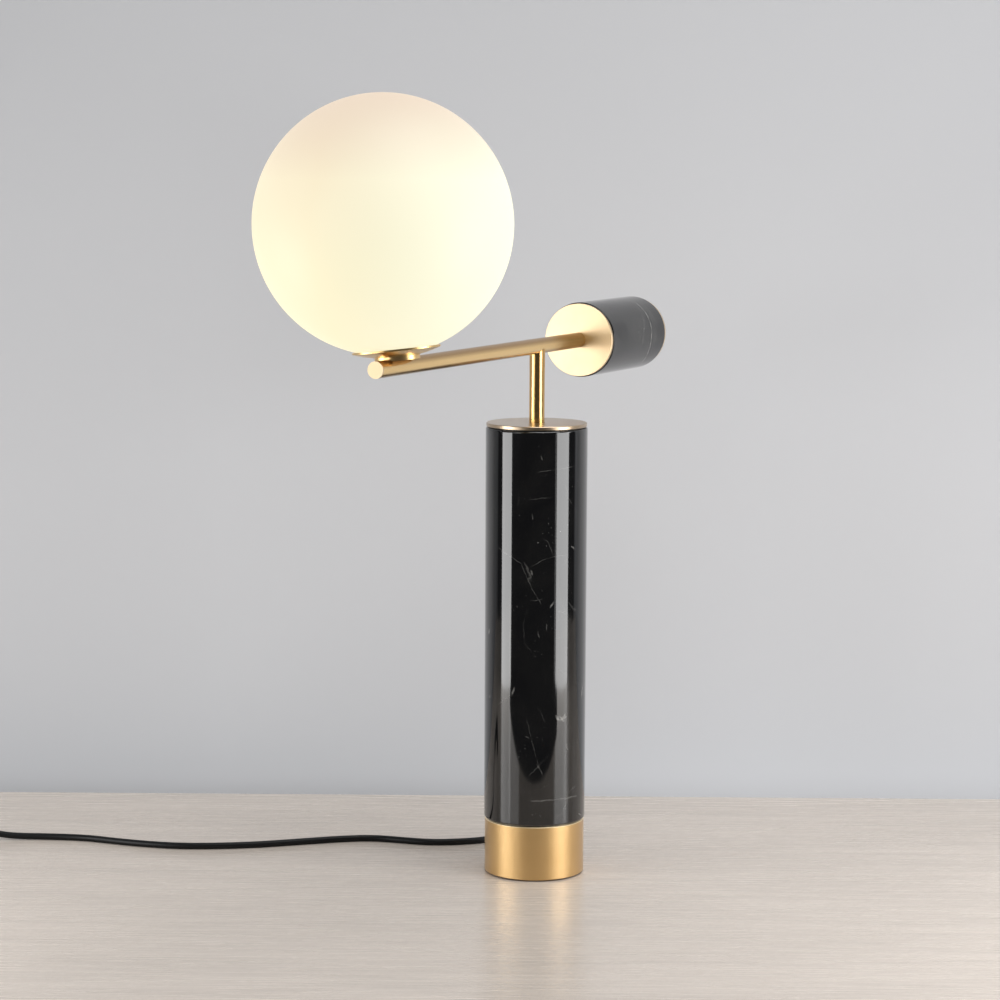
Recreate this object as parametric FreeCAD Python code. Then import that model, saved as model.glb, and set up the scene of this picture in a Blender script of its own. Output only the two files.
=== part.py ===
import FreeCAD, Part
import math
import os

# A table lamp: a stone column on a brass base carries a level brass arm. The arm holds
# a glass globe at its front end (-X) and a stone counterweight at its rear end (+X).
# Frame: origin at the centre of the underside, +Z up, X along the arm. Millimetres.

Vector = FreeCAD.Vector
ORIGIN = Vector(0, 0, 0)
X_AXIS = Vector(1, 0, 0)
Y_AXIS = Vector(0, 1, 0)
Z_AXIS = Vector(0, 0, 1)

# ---- driving dimensions ----

# base
BASE_R = 40.2
BASE_TOP = 44.8
BASE_WALL = 5.7
BASE_TOP_PLATE = 6.0
BASE_EDGE = 0.6
SHELL_BOTTOM = 1.0
PAD_R = 36.0
PAD_TOP = 2.0
PLATE_R = 36.4
PLATE_TOP = 4.0
BALLAST_BOTTOM = 22.0
BALLAST_BORE_R = 12.5
SLIP_GAP = 0.1

# cord bush, clamp and terminals in the base; lengths along X from its middle
BUSH_FLANGE = (31.7, 33.6)
BUSH_FLANGE_PROUD = 0.5
BUSH_TAPER_START = 41.0
CLAMP_X = (16.0, 24.0)
CLAMP_HALF = 11.0
CLAMP_TOP = 14.0
CLAMP_SCREW_Y = 7.5
CLAMP_SCREW_R = 1.6
CLAMP_SCREW_BOTTOM = 7.0
SCREW_HEAD_R = 3.0
SCREW_HEAD_THICK = 2.0
ENTRY_CORD_START = 6.0
TERMINALS_X = (-14.0, 6.0)
TERMINALS_HALF = 9.0
TERMINALS_TOP = 18.0

# column
COLUMN_R = 40.9
COLUMN_TOP = 362.9
COLUMN_BORE_R = 8.0
COLUMN_EDGE = 1.5
GASKET = 0.6
GASKET_INSET = 1.7

# tie rod, which clamps base, column and cap together
ROD_R = 5.0
ROD_BORE_R = 3.0
ROD_BOTTOM = 27.0
WASHER_R = 12.0
WASHER_THICK = 1.5
NUT_FLATS = 17.0
NUT_THICK = 7.0

# top cap with the arm's friction swivel inside its sleeve
CAP_R = 40.3
CAP_THICK = 3.0
CAP_EDGE = 0.4
SLEEVE_R = 12.0
SLEEVE_BOTTOM = 337.0
SLEEVE_ROOM = 0.8
SPIGOT_R = 8.0
SWIVEL_CLEARANCE = 0.05
SPIGOT_TOP_GAP = 0.2
LOCK_BUSH_LENGTH = 11.0
FRICTION_WASHER = 2.0
FRICTION_WASHER_BORE_R = 4.5
STEM_HOLE_CLEARANCE = 0.35

# stem and arm
STEM_R = 6.2
STEM_BORE_R = 4.2
STEM_INTO_ARM = 2.0
ARM_R = 6.2
ARM_BORE_R = 4.4
ARM_HEIGHT = 427.5
ARM_FRONT = -282.0
ARM_REAR = 196.0
END_CAP_THICK = 1.2
END_CAP_SPIGOT = 9.0
LEAD_R = 1.8
LEAD_GAP = 0.3

# counterweight
WEIGHT_FRONT = 83.5
WEIGHT_LENGTH = 120.0
WEIGHT_R = 30.8
WEIGHT_DISC_R = 30.0
WEIGHT_DISC_THICK = 2.8
WEIGHT_DISC_EDGE = 0.3
WEIGHT_EDGE = 1.0
WEIGHT_BOSS = 15.0
WEIGHT_BORE_CLEARANCE = 0.5

# globe and what holds it, along an axis that leans about the arm
GLOBE_X = -246.0
GLOBE_LEAN = 6.8
GLOBE_HEIGHT = 102.5
GLOBE_R = 94.0
GLOBE_WALL = 3.0
GLOBE_HOLE_R = 25.0
GLOBE_NECK_TOP = 26.0
GLOBE_GASKET_GAP = 0.3
GLOBE_GASKET = 0.7
GLOBE_GASKET_RING = (26.0, 30.0)
SAUCER_THICK = 1.2
SAUCER_R = 32.0
HUB_R = 16.5
HUB_BOTTOM = 4.6
HUB_TOP = 12.0
NIPPLE_R = 4.0
NIPPLE_BORE_R = 2.5
NIPPLE_TOP = 20.0
GALLERY_NUT_FLATS = 12.0
GALLERY_NUT = (7.9, 11.4)
COLLAR_R = 24.4
COLLAR_WALL = 1.2
COLLAR_BOTTOM = 5.0
COLLAR_TOP = 24.0
CLIP_COUNT = 3
CLIP_WIDTH = 5.0
CLIP_PROUD = 0.45
CLIP_HEIGHTS = (14.0, 23.0)
CLIP_TURN = 30.0

# lampholder and bulb, heights along the leaning axis
HOLDER_BASE = (12.0, 22.0)
HOLDER_BASE_R = 18.0
HOLDER_BASE_TAPER = 2.0
HOLDER_TOP = 56.0
HOLDER_R = 19.5
HOLDER_BORE_R = 14.0
HOLDER_FLOOR = 2.0
SCREW_SHELL = (28.0, 53.0)
SCREW_SHELL_BORE_R = 13.4
CONTACT_TOP = 27.7
CONTACT_R = 3.0
CONTACT_FOOT_R = 6.0
CONTACT_FOOT = 0.8
BULB_CAP_R = 13.3
BULB_CAP = (31.0, 54.0)
BULB_TIP = (27.8, 28.8)
BULB_TIP_R = 4.8
BULB_INSULATOR_R = 11.5
BULB_NECK_R = 13.6
BULB_NECK = 3.0
BULB_R = 22.5
BULB_CENTRE = 84.0
BULB_SEAM = 74.0
BULB_WALL = 1.2

# cord
CORD_R = 2.7
CORD_EXIT_Z = 10.0
BUSH_END = 63.0
CORD_LIES_Z = CORD_R
HOUSING_MID_Z = 7.0
RELIEF_LENGTH = 20.0
RELIEF_THIN_R = 3.6
RELIEF_THICK_R = 5.4

# the cord's route from its bush to the switch: x, y and the height of its middle
CORD_ROUTE = [
    (BUSH_END, 0.0, CORD_EXIT_Z),
    (77.0, 0.0, CORD_EXIT_Z),
    (91.0, 5.8, 7.6),
    (101.0, 17.6, 4.8),
    (103.8, 33.2, 3.2),
    (98.9, 48.4, CORD_LIES_Z),
    (88.0, 60.2, CORD_LIES_Z),
    (74.5, 67.4, CORD_LIES_Z),
    (61.5, 76.0, CORD_LIES_Z),
    (47.5, 91.5, CORD_LIES_Z),
    (36.3, 110.3, CORD_LIES_Z),
    (32.1, 133.7, CORD_LIES_Z),
    (29.5, 160.0, CORD_LIES_Z),
    (15.4, 183.2, CORD_LIES_Z),
    (-9.0, 210.2, CORD_LIES_Z),
    (-32.7, 235.9, CORD_LIES_Z),
    (-52.5, 264.3, CORD_LIES_Z),
    (-67.6, 294.7, CORD_LIES_Z),
    (-73.8, 323.8, CORD_LIES_Z),
    (-76.4, 351.2, CORD_LIES_Z),
    (-77.2, 380.5, CORD_LIES_Z),
    (-87.0, 411.3, CORD_LIES_Z),
    (-102.2, 441.7, 3.3),
]
CORD_HEADING = 116.0
CORD_LAST_RUN = 15.0
SWITCH_START = (-116.2, 470.5)

# the coil of put-away cord, in two layers, and the straight pieces at its ends
COIL_PITCH = 5.9
COIL_TURNS_PER_LAYER = 2.5
COIL_CLIMB = 0.5
COIL_INNER_R = 23.2
COIL_LEAD_IN = 26.0
COIL_LEAD_OUT = 28.0
QUARTER = 0.25

# inline switch, measured from the start of its first strain relief
SWITCH_LENGTH = 50.0
SWITCH_WIDTH = 24.0
SWITCH_TOP = 13.6
SWITCH_WALL = 1.6
SWITCH_CORNER_R = 5.0
SWITCH_RIM_R = 1.2
ROCKER_LENGTH = 19.2
ROCKER_WIDTH = 10.0
ROCKER_DEEP = 2.0
ROCKER_HIGH = 3.0
ROCKER_WAIST = 1.9
ROCKER_TILT = 8.0
ROCKER_ROOM = 0.8
ROCKER_PIVOT_Z = 11.0
ROCKER_PIN_R = 1.0
ROCKER_PIN_LENGTH = 15.0
ROCKER_PIN_CLEARANCE = 0.05
LUG_WIDTH = 2.0
LUG_HALF = 3.0
LUG_BOTTOM = 9.0

# two-pin plug, measured from the start of its strain relief
PLUG_THICK = 14.0
PLUG_OUTLINE = [(20.0, 6.0), (27.0, 10.5), (44.0, 15.5), (56.0, 16.5)]
PLUG_EDGE = 2.5
PIN_R = 2.0
PIN_LENGTH = 19.0
PIN_ROOT = 5.0
PIN_SPACING = 19.0

# ---- worked out from them ----

SHELL_BORE_R = BASE_R - BASE_WALL
SHELL_CEILING = BASE_TOP - BASE_TOP_PLATE
COLUMN_BOTTOM = BASE_TOP + GASKET
CAP_BOTTOM = COLUMN_TOP + GASKET
CAP_TOP = CAP_BOTTOM + CAP_THICK
SWIVEL_BORE_R = SPIGOT_R + SWIVEL_CLEARANCE
SWIVEL_CEILING = CAP_BOTTOM - 1.0
LOCK_BUSH_TOP = SLEEVE_BOTTOM + LOCK_BUSH_LENGTH
SPIGOT_BOTTOM = LOCK_BUSH_TOP + FRICTION_WASHER + SLIP_GAP
SAUCER_IN_R = GLOBE_R + GLOBE_GASKET_GAP + GLOBE_GASKET
SAUCER_OUT_R = SAUCER_IN_R + SAUCER_THICK
COIL_OUTER_R = COIL_INNER_R + COIL_TURNS_PER_LAYER * COIL_PITCH
COIL_TURNS = 2 * COIL_TURNS_PER_LAYER + COIL_CLIMB
SWITCH_TOTAL = SWITCH_LENGTH + 2 * RELIEF_LENGTH


# ---- shapes ----

def disc(radius, bottom, top):
    return Part.makeCylinder(radius, top - bottom, Vector(0, 0, bottom))


def ring(outer, bore, bottom, top):
    return disc(outer, bottom, top).cut(disc(bore, bottom - 1, top + 1))


def ball(radius, height):
    return Part.makeSphere(radius, Vector(0, 0, height))


def cone(bottom_radius, top_radius, bottom, top):
    return Part.makeCone(bottom_radius, top_radius, top - bottom, Vector(0, 0, bottom))


def hexagon_nut(flats, bore, bottom, top):
    corner = flats / math.sqrt(3)
    corners = [Vector(corner, 0, bottom)]
    for step in range(1, 7):
        turn = math.radians(60 * step)
        corners.append(Vector(corner * math.cos(turn), corner * math.sin(turn), bottom))
    prism = Part.Face(Part.makePolygon(corners)).extrude(Vector(0, 0, top - bottom))
    return prism.cut(disc(bore, bottom - 1, top + 1))


def turned(profile):
    """A solid of revolution about Z from closed (radius, height) points."""
    points = [Vector(radius, 0, height) for radius, height in profile]
    face = Part.Face(Part.makePolygon(points + points[:1]))
    return face.revolve(ORIGIN, Z_AXIS, 360)


def block(low, high):
    size = Vector(*high) - Vector(*low)
    return Part.makeBox(size.x, size.y, size.z, Vector(*low))


def chamfered_disc(radius, bore, bottom, top, edge):
    return turned([
        (bore, bottom),
        (radius - edge, bottom),
        (radius, bottom + edge),
        (radius, top - edge),
        (radius - edge, top),
        (bore, top),
    ])


def round_rims(solid, radius, height_list, outer):
    """Round the outer circular edges that lie at the given heights."""
    edges = []
    for edge in solid.Edges:
        box = edge.BoundBox
        flat = box.ZLength < 0.01
        wide = abs(box.XLength - 2 * outer) < 0.01
        if flat and wide and any(abs(box.ZMin - height) < 0.01 for height in height_list):
            edges.append(edge)
    return solid.makeFillet(radius, edges)


def on_arm(shape):
    """Turn a shape made along Z so that it lies along the arm."""
    moved = shape.copy()
    moved.rotate(ORIGIN, Y_AXIS, 90)
    moved.translate(Vector(0, 0, ARM_HEIGHT))
    return moved


def on_gallery(shape):
    """Stand a shape made along Z on the arm under the globe, with the globe's lean."""
    moved = shape.copy()
    moved.rotate(ORIGIN, X_AXIS, -GLOBE_LEAN)
    moved.translate(Vector(GLOBE_X, 0, ARM_HEIGHT))
    return moved


def heading_vector(degrees):
    return Vector(math.cos(math.radians(degrees)), math.sin(math.radians(degrees)), 0)


def on_table(shape, start, heading):
    """Lay a shape made along X on the table, from a point and in a direction."""
    moved = shape.copy()
    moved.rotate(ORIGIN, Z_AXIS, heading)
    moved.translate(Vector(start.x, start.y, 0))
    return moved


def lying(shape, height):
    """Turn a shape made along Z to lie along X at that height."""
    moved = shape.copy()
    moved.rotate(ORIGIN, Y_AXIS, 90)
    moved.translate(Vector(0, 0, height))
    return moved


# ---- base and column ----

def base_parts():
    shell = turned([
        (PLATE_R + SLIP_GAP, SHELL_BOTTOM),
        (BASE_R - BASE_EDGE, SHELL_BOTTOM),
        (BASE_R, SHELL_BOTTOM + BASE_EDGE),
        (BASE_R, BASE_TOP - BASE_EDGE),
        (BASE_R - BASE_EDGE, BASE_TOP),
        (ROD_R + 2 * SLIP_GAP, BASE_TOP),
        (ROD_R + 2 * SLIP_GAP, SHELL_CEILING),
        (SHELL_BORE_R, SHELL_CEILING),
        (SHELL_BORE_R, PLATE_TOP),
        (PLATE_R + SLIP_GAP, PLATE_TOP),
    ])
    cord_hole = disc(RELIEF_THICK_R, BUSH_FLANGE[0], BASE_R + 1)
    shell = shell.cut(lying(cord_hole, CORD_EXIT_Z))
    return {
        "foot_pad": disc(PAD_R, 0, PAD_TOP),
        "base_plate": disc(PLATE_R, PAD_TOP, PLATE_TOP),
        "base_shell": shell,
        "ballast": ring(SHELL_BORE_R, BALLAST_BORE_R, BALLAST_BOTTOM, SHELL_CEILING),
        "base_gasket": ring(BASE_R - GASKET_INSET, COLUMN_BORE_R, BASE_TOP, COLUMN_BOTTOM),
    }


def cord_entry_parts():
    flange = disc(RELIEF_THICK_R + BUSH_FLANGE_PROUD, *BUSH_FLANGE)
    bush = flange.fuse(disc(RELIEF_THICK_R, BUSH_FLANGE[1], BUSH_TAPER_START))
    bush = bush.fuse(cone(RELIEF_THICK_R, RELIEF_THIN_R, BUSH_TAPER_START, BUSH_END))
    bush = bush.cut(disc(CORD_R, 0, BUSH_END + 1)).removeSplitter()
    clamp_low = (CLAMP_X[0], -CLAMP_HALF, PLATE_TOP)
    clamp_high = (CLAMP_X[1], CLAMP_HALF, CLAMP_TOP)
    clamp = block(clamp_low, clamp_high)
    clamp = clamp.cut(lying(disc(CORD_R, 0, BUSH_END), CORD_EXIT_Z))
    terminals_low = (TERMINALS_X[0], -TERMINALS_HALF, PLATE_TOP)
    terminals_high = (TERMINALS_X[1], TERMINALS_HALF, TERMINALS_TOP)
    parts = {}
    for number, side in enumerate((-1, 1), start=1):
        shank = disc(CLAMP_SCREW_R, CLAMP_SCREW_BOTTOM, CLAMP_TOP)
        screw = shank.fuse(disc(SCREW_HEAD_R, CLAMP_TOP, CLAMP_TOP + SCREW_HEAD_THICK))
        screw.translate(Vector(sum(CLAMP_X) / 2, side * CLAMP_SCREW_Y, 0))
        clamp = clamp.cut(screw)
        parts["clamp_screw_%d" % number] = screw.removeSplitter()
    parts["cord_bush"] = lying(bush, CORD_EXIT_Z)
    parts["cord_clamp"] = clamp
    parts["entry_cord"] = lying(disc(CORD_R, ENTRY_CORD_START, BUSH_END), CORD_EXIT_Z)
    parts["terminal_block"] = block(terminals_low, terminals_high)
    return parts


def column_parts():
    column = disc(COLUMN_R, COLUMN_BOTTOM, COLUMN_TOP)
    column = round_rims(column, COLUMN_EDGE, (COLUMN_BOTTOM, COLUMN_TOP), COLUMN_R)
    column = column.cut(disc(COLUMN_BORE_R, COLUMN_BOTTOM - 1, COLUMN_TOP + 1))
    column = column.cut(disc(SLEEVE_R + SLEEVE_ROOM, SLEEVE_BOTTOM - 2, COLUMN_TOP + 1))
    washer_bottom = SHELL_CEILING - WASHER_THICK
    return {
        "column": column,
        "tie_rod": ring(ROD_R, ROD_BORE_R, ROD_BOTTOM, LOCK_BUSH_TOP - 1),
        "tie_washer": ring(WASHER_R, ROD_R, washer_bottom, SHELL_CEILING),
        "tie_nut": hexagon_nut(NUT_FLATS, ROD_R, washer_bottom - NUT_THICK, washer_bottom),
        "column_lead": disc(LEAD_R, TERMINALS_TOP, SPIGOT_BOTTOM - LEAD_GAP),
    }


def cap_parts():
    hole_r = STEM_R + STEM_HOLE_CLEARANCE
    cap = turned([
        (SWIVEL_BORE_R, SLEEVE_BOTTOM),
        (SLEEVE_R, SLEEVE_BOTTOM),
        (SLEEVE_R, CAP_BOTTOM),
        (CAP_R - CAP_EDGE, CAP_BOTTOM),
        (CAP_R, CAP_BOTTOM + CAP_EDGE),
        (CAP_R, CAP_TOP - CAP_EDGE),
        (CAP_R - CAP_EDGE, CAP_TOP),
        (hole_r, CAP_TOP),
        (hole_r, SWIVEL_CEILING),
        (SWIVEL_BORE_R, SWIVEL_CEILING),
    ])
    gasket_bore = SLEEVE_R + SLEEVE_ROOM
    washer_top = LOCK_BUSH_TOP + FRICTION_WASHER
    washer_r = SPIGOT_R - SLIP_GAP
    return {
        "top_cap": cap,
        "cap_gasket": ring(CAP_R - GASKET_INSET, gasket_bore, COLUMN_TOP, CAP_BOTTOM),
        "lock_bush": ring(SWIVEL_BORE_R, ROD_R, SLEEVE_BOTTOM, LOCK_BUSH_TOP),
        "friction_washer": ring(washer_r, FRICTION_WASHER_BORE_R, LOCK_BUSH_TOP, washer_top),
    }


# ---- stem, arm and counterweight ----

def stem_parts():
    spigot = disc(SPIGOT_R, SPIGOT_BOTTOM, SWIVEL_CEILING - SPIGOT_TOP_GAP)
    stem = spigot.fuse(disc(STEM_R, SPIGOT_BOTTOM, ARM_HEIGHT - STEM_INTO_ARM))
    stem = stem.cut(disc(STEM_BORE_R, SPIGOT_BOTTOM - 1, ARM_HEIGHT))
    stem = stem.cut(on_arm(disc(ARM_R, -SPIGOT_R, SPIGOT_R))).removeSplitter()
    return {"stem": stem}


def arm_parts():
    tube = on_arm(ring(ARM_R, ARM_BORE_R, ARM_FRONT + END_CAP_THICK, ARM_REAR))
    tube = tube.cut(disc(STEM_BORE_R, ARM_HEIGHT - 2 * ARM_R, ARM_HEIGHT))
    tube = tube.cut(on_gallery(disc(NIPPLE_R, 0, NIPPLE_TOP)))
    cap_back = ARM_FRONT + END_CAP_THICK
    end_cap = disc(ARM_R, ARM_FRONT, cap_back)
    end_cap = end_cap.fuse(disc(ARM_BORE_R, cap_back, cap_back + END_CAP_SPIGOT))
    return {
        "arm": tube,
        "arm_end_cap": on_arm(end_cap.removeSplitter()),
        "arm_lead": lead_in_arm(),
    }


def lead_in_arm():
    bend = Vector(0, 0, ARM_HEIGHT)
    far = Vector(GLOBE_X, 0, ARM_HEIGHT)
    rise = disc(LEAD_R, SPIGOT_BOTTOM, ARM_HEIGHT)
    level = Part.makeCylinder(LEAD_R, -GLOBE_X, far, X_AXIS)
    lead = rise.fuse([level, on_gallery(disc(LEAD_R, 0, NIPPLE_TOP - 1))])
    lead = lead.fuse([Part.makeSphere(LEAD_R, bend), Part.makeSphere(LEAD_R, far)])
    return lead.removeSplitter()


def counterweight_parts():
    front_disc_back = WEIGHT_FRONT + WEIGHT_DISC_THICK
    stone_front = front_disc_back + GASKET
    rear = WEIGHT_FRONT + WEIGHT_LENGTH
    rear_disc_front = rear - WEIGHT_DISC_THICK
    stone_rear = rear_disc_front - GASKET
    gasket_r = WEIGHT_DISC_R - GASKET_INSET
    stone = disc(WEIGHT_R, stone_front, stone_rear)
    stone = round_rims(stone, WEIGHT_EDGE, (stone_front, stone_rear), WEIGHT_R)
    stone = stone.cut(disc(ARM_R + WEIGHT_BORE_CLEARANCE, stone_front - 1, stone_rear + 1))
    edge = WEIGHT_DISC_EDGE
    front_disc = chamfered_disc(WEIGHT_DISC_R, ARM_R, WEIGHT_FRONT, front_disc_back, edge)
    rear_disc = turned([
        (0, rear_disc_front - WEIGHT_BOSS),
        (ARM_BORE_R, rear_disc_front - WEIGHT_BOSS),
        (ARM_BORE_R, rear_disc_front),
        (WEIGHT_DISC_R - edge, rear_disc_front),
        (WEIGHT_DISC_R, rear_disc_front + edge),
        (WEIGHT_DISC_R, rear - edge),
        (WEIGHT_DISC_R - edge, rear),
        (0, rear),
    ])
    return {
        "weight_front_disc": on_arm(front_disc),
        "weight_front_gasket": on_arm(ring(gasket_r, ARM_R, front_disc_back, stone_front)),
        "weight_stone": on_arm(stone),
        "weight_rear_gasket": on_arm(ring(gasket_r, ARM_R, stone_rear, rear_disc_front)),
        "weight_rear_disc": on_arm(rear_disc),
    }


# ---- gallery, lampholder, bulb and globe ----

def gallery_parts():
    nipple_hole = disc(NIPPLE_R, 0, NIPPLE_TOP)
    arm_rod = Part.makeCylinder(ARM_R, 2 * SAUCER_R, Vector(-SAUCER_R, 0, 0), X_AXIS)
    hub = disc(HUB_R, HUB_BOTTOM, HUB_TOP).cut(ball(SAUCER_OUT_R, GLOBE_HEIGHT))
    hub = hub.cut(arm_rod).cut(nipple_hole)
    saucer = ball(SAUCER_OUT_R, GLOBE_HEIGHT).cut(ball(SAUCER_IN_R, GLOBE_HEIGHT))
    saucer = saucer.common(disc(SAUCER_R, 0, GLOBE_HEIGHT)).cut(nipple_hole)
    collar = ring(COLLAR_R, COLLAR_R - COLLAR_WALL, COLLAR_BOTTOM, COLLAR_TOP)
    collar = collar.common(ball(SAUCER_IN_R, GLOBE_HEIGHT))
    gasket_in, gasket_out = GLOBE_GASKET_RING
    gasket = ball(SAUCER_IN_R, GLOBE_HEIGHT).cut(ball(SAUCER_IN_R - GLOBE_GASKET, GLOBE_HEIGHT))
    gasket = gasket.common(ring(gasket_out, gasket_in, 0, GLOBE_HEIGHT))
    nut_bottom, nut_top = GALLERY_NUT
    parts = {
        "hub": hub,
        "saucer": saucer,
        "nipple": ring(NIPPLE_R, NIPPLE_BORE_R, ARM_BORE_R, NIPPLE_TOP),
        "gallery_nut": hexagon_nut(GALLERY_NUT_FLATS, NIPPLE_R, nut_bottom, nut_top),
        "collar": collar,
        "globe_gasket": gasket,
    }
    clip_band = ring(COLLAR_R + CLIP_PROUD, COLLAR_R, *CLIP_HEIGHTS)
    strip = block((0, -CLIP_WIDTH / 2, 0), (2 * COLLAR_R, CLIP_WIDTH / 2, GLOBE_HEIGHT))
    clips = []
    for number in range(CLIP_COUNT):
        clip = clip_band.common(strip)
        clip.rotate(ORIGIN, Z_AXIS, 360 / CLIP_COUNT * number + CLIP_TURN)
        clips.append(clip)
    parts["spring_clips"] = Part.makeCompound(clips)
    return parts


def lampholder_parts():
    floor_z = HOLDER_BASE[1]
    body = ring(HOLDER_R, HOLDER_BORE_R, floor_z, HOLDER_TOP)
    floor_top = floor_z + HOLDER_FLOOR
    body = body.fuse(ring(HOLDER_R, NIPPLE_R, floor_z, floor_top))
    base = cone(HOLDER_BASE_R - HOLDER_BASE_TAPER, HOLDER_BASE_R, *HOLDER_BASE)
    base = base.cut(disc(NIPPLE_R, 0, HOLDER_TOP))
    contact_foot = disc(CONTACT_FOOT_R, floor_top, floor_top + CONTACT_FOOT)
    contact = contact_foot.fuse(disc(CONTACT_R, floor_top, CONTACT_TOP))
    return {
        "holder_base": base,
        "holder_body": body.removeSplitter(),
        "holder_screw_shell": ring(HOLDER_BORE_R, SCREW_SHELL_BORE_R, *SCREW_SHELL),
        "holder_contact": contact.removeSplitter(),
    }


def bulb_parts():
    neck_top = BULB_CAP[1] + BULB_NECK
    seam_r = math.sqrt(BULB_R ** 2 - (BULB_CENTRE - BULB_SEAM) ** 2)
    body = turned([
        (0, BULB_CAP[1]),
        (BULB_NECK_R, BULB_CAP[1]),
        (BULB_NECK_R, neck_top),
        (seam_r, BULB_SEAM),
        (0, BULB_SEAM),
    ])
    dome = ball(BULB_R, BULB_CENTRE).cut(ball(BULB_R - BULB_WALL, BULB_CENTRE))
    dome = dome.cut(disc(BULB_R + 1, 0, BULB_SEAM))
    return {
        "bulb_tip": disc(BULB_TIP_R, *BULB_TIP),
        "bulb_insulator": cone(BULB_TIP_R, BULB_INSULATOR_R, BULB_TIP[1], BULB_CAP[0]),
        "bulb_cap": disc(BULB_CAP_R, *BULB_CAP),
        "bulb_body": body,
        "bulb_dome": dome,
    }


def globe_parts():
    """The glass, as a neck, a lower half and a dome, so that simple pieces leave its inside open."""
    glass = ball(GLOBE_R, GLOBE_HEIGHT).cut(ball(GLOBE_R - GLOBE_WALL, GLOBE_HEIGHT))
    glass = glass.cut(disc(GLOBE_HOLE_R, 0, GLOBE_HEIGHT))
    zones = {
        "globe_neck": (0, GLOBE_NECK_TOP),
        "globe_lower": (GLOBE_NECK_TOP, GLOBE_HEIGHT),
        "globe": (GLOBE_HEIGHT, GLOBE_HEIGHT + GLOBE_R),
    }
    return {node: glass.common(disc(GLOBE_R, *heights)) for node, heights in zones.items()}


# ---- cord ----

def corner_arcs(points):
    """Straight runs joined by tangent arcs, each as large as its two runs allow."""
    edges = []
    radii = []
    start = points[0]
    for before, corner, after in zip(points, points[1:], points[2:]):
        into = corner - before
        out = after - corner
        turn = into.getAngle(out)
        reach = 0.45 * min(into.Length, out.Length)
        into.normalize()
        out.normalize()
        radius = reach / math.tan(turn / 2)
        radii.append(radius)
        enter = corner - into * reach
        leave = corner + out * reach
        inward = out - into
        inward.normalize()
        depth = radius / math.cos(turn / 2) - radius
        edges.append(Part.LineSegment(start, enter).toShape())
        edges.append(Part.Arc(enter, corner + inward * depth, leave).toShape())
        start = leave
    edges.append(Part.LineSegment(start, points[-1]).toShape())
    return edges, radii


def biarc(start, start_way, end, end_way):
    """Two arcs that leave start and reach end in the given directions."""
    span = end - start
    both = start_way + end_way
    square = 2 + 2 * start_way.dot(end_way) - 4
    linear = -2 * span.dot(both)
    constant = span.dot(span)
    root = math.sqrt(linear ** 2 - 4 * square * constant)
    arm = max((-linear - root) / (2 * square), (-linear + root) / (2 * square))
    first_knee = start + start_way * arm
    last_knee = end - end_way * arm
    middle = (first_knee + last_knee) * 0.5
    return [
        arc_through_knee(start, first_knee, middle),
        arc_through_knee(middle, last_knee, end),
    ]


def arc_through_knee(start, knee, end):
    """The arc that touches start-knee at start and knee-end at end."""
    chord_middle = (start + end) * 0.5
    half_chord = (end - start).Length / 2
    height = (knee - chord_middle).Length
    leg = (knee - start).Length
    sagitta = half_chord * (leg - half_chord) / height
    crown = chord_middle + (knee - chord_middle) * (sagitta / height)
    return Part.Arc(start, crown, end).toShape()


def tube_along(edges):
    """A round tube of the cord's size along joined edges."""
    wire = Part.Wire(edges)
    first = edges[0]
    middle = first.valueAt(first.FirstParameter)
    way = first.tangentAt(first.FirstParameter)
    circle = Part.Wire(Part.makeCircle(CORD_R, middle, way))
    shell = Part.BRepOffsetAPI.MakePipeShell(wire)
    shell.add(circle)
    shell.build()
    shell.makeSolid()
    return shell.shape(), wire.Length


def report_volume(name, solid, length):
    ratio = solid.Volume / (math.pi * CORD_R ** 2 * length)
    print("%s: length %.1f, volume over section times length %.4f, valid %s"
          % (name, length, ratio, solid.isValid()))


def coil_state(turn):
    """Radius, height and their change per turn, at a number of turns from the start."""
    reverse = COIL_TURNS / 2
    climb_start = COIL_TURNS_PER_LAYER
    if abs(turn - reverse) < 1e-9:
        slope = 0.0
    else:
        slope = math.copysign(COIL_PITCH, turn - reverse)
    radius = COIL_INNER_R - COIL_PITCH * COIL_CLIMB / 2 + COIL_PITCH * abs(turn - reverse)
    share = min(1.0, max(0.0, (turn - climb_start) / COIL_CLIMB))
    height = CORD_LIES_Z + COIL_PITCH * (3 * share ** 2 - 2 * share ** 3)
    climb = COIL_PITCH * 6 * share * (1 - share) / COIL_CLIMB
    return radius, height, slope, climb


def coil_point(turn, centre, start_angle):
    radius, height, slope, climb = coil_state(turn)
    angle = start_angle + 2 * math.pi * turn
    outward = Vector(math.cos(angle), math.sin(angle), 0)
    around = Vector(-math.sin(angle), math.cos(angle), 0)
    place = centre + outward * radius + Vector(0, 0, height)
    way = outward * slope + around * (2 * math.pi * radius) + Vector(0, 0, climb)
    way.normalize()
    return place, way


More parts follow.
